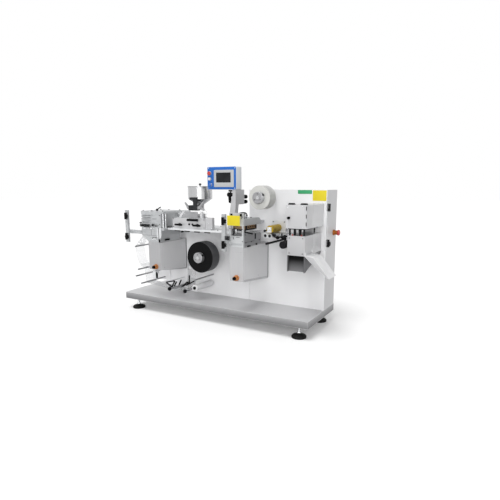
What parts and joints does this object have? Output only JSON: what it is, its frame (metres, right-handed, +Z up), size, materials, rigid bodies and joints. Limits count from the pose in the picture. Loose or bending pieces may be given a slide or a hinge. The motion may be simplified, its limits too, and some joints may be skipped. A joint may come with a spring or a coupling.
{
  "type": "blister packing machine",
  "caption": "Table-length blister packing machine with forming, feeding, sealing and cutting stations along one film lane, film and foil reels, hinged clear guards and a sloping outlet chute.",
  "frame": {"origin": "on the floor under the middle of the machine's whole box", "axes": "+X along the film lane towards the outlet chute, +Y from the operator's side to the rear cabinet, +Z up"},
  "size_m": [1.73, 0.637, 1.119],
  "materials": {
    "brushed_stainless": "fine brushed sheet",
    "polished_stainless": "polished",
    "pale_paint": "satin paint",
    "graphite_paint": "satin paint",
    "machined_aluminium": "machined and clear anodised",
    "black_steel": "black oxide",
    "bronze": "turned",
    "black_plastic": "moulded",
    "white_plastic": "smooth",
    "red_plastic": "moulded",
    "blue_panel": "satin paint",
    "gold_roller": "gold anodised and knurled",
    "black_rubber": "moulded",
    "black_film": "wound film",
    "pale_foil": "wound lidding foil",
    "clear_film": "clear film",
    "clear_acrylic": "clear sheet"
  },
  "bodies": {
    "machine": {"base_tray": "brushed_stainless", "levelling_feet": "black_rubber", "tall_cabinet": "pale_paint", "low_cabinet": "pale_paint", "forming_column": "brushed_stainless", "sealing_column": "brushed_stainless", "column_bushes": "bronze", "track_plate": "machined_aluminium", "forming_lower_die": "machined_aluminium", "forming_block": "machined_aluminium", "station_pillars": "black_steel", "hand_knobs": "black_plastic", "feeder_body": "brushed_stainless", "feeder_hood": "clear_acrylic", "vibrator_bracket": "graphite_paint", "hopper": "polished_stainless", "hopper_lid": "polished_stainless", "sealing_lower_die": "machined_aluminium", "sealing_platen": "bronze", "sealing_head": "machined_aluminium", "sealing_frame": "machined_aluminium", "hmi_post": "brushed_stainless", "hmi_case": "blue_panel", "wall_shafts": "polished_stainless", "film_web": "clear_film", "dancer_arms": "black_plastic", "tension_roller": "white_plastic", "roller_brackets": "machined_aluminium", "cutting_die_box": "brushed_stainless", "cutting_head": "pale_paint", "outlet_plates": "brushed_stainless", "discharge_chute": "white_plastic", "emergency_stop": "red_plastic", "guard_posts": "machined_aluminium", "guard_hinge_brackets": "black_plastic"},
    "forming_guard": {"forming_guard_panel": "clear_acrylic", "forming_guard_leaves": "black_plastic"},
    "sealing_guard": {"sealing_guard_panel": "clear_acrylic", "sealing_guard_leaves": "black_plastic"},
    "cutting_guard": {"cutting_guard_panel": "clear_acrylic", "cutting_guard_leaves": "black_plastic"},
    "film_reel": {"film_roll": "black_film", "film_hub": "machined_aluminium"},
    "foil_reel": {"foil_roll": "pale_foil", "foil_hub": "machined_aluminium"},
    "traction_drum": {"traction_roller": "gold_roller"},
    "pull_drum": {"pull_roller": "black_rubber"}
  },
  "joints": [
    {"name": "forming_guard_hinge", "type": "hinge", "parent": "machine", "child": "forming_guard", "pos_m": [-0.76, -0.2595, 0.69], "axis": [0, 0, -1], "range_deg": [0, 110]},
    {"name": "sealing_guard_hinge", "type": "hinge", "parent": "machine", "child": "sealing_guard", "pos_m": [0.161, -0.3005, 0.69], "axis": [0, 0, -1], "range_deg": [0, 110]},
    {"name": "cutting_guard_hinge", "type": "hinge", "parent": "machine", "child": "cutting_guard", "pos_m": [0.747, 0.1125, 0.72], "axis": [0, 0, 1], "range_deg": [0, 100]},
    {"name": "film_reel_spin", "type": "hinge", "parent": "machine", "child": "film_reel", "pos_m": [-0.152, -0.0815, 0.471], "axis": [0, 1, 0], "continuous": true},
    {"name": "foil_reel_spin", "type": "hinge", "parent": "machine", "child": "foil_reel", "pos_m": [0.345, -0.0815, 0.915], "axis": [0, 1, 0], "continuous": true},
    {"name": "traction_spin", "type": "hinge", "parent": "machine", "child": "traction_drum", "pos_m": [0.432, -0.0815, 0.7092], "axis": [0, 1, 0], "continuous": true},
    {"name": "pull_roller_spin", "type": "hinge", "parent": "machine", "child": "pull_drum", "pos_m": [0.525, -0.0815, 0.611], "axis": [0, 1, 0], "continuous": true}
  ]
}
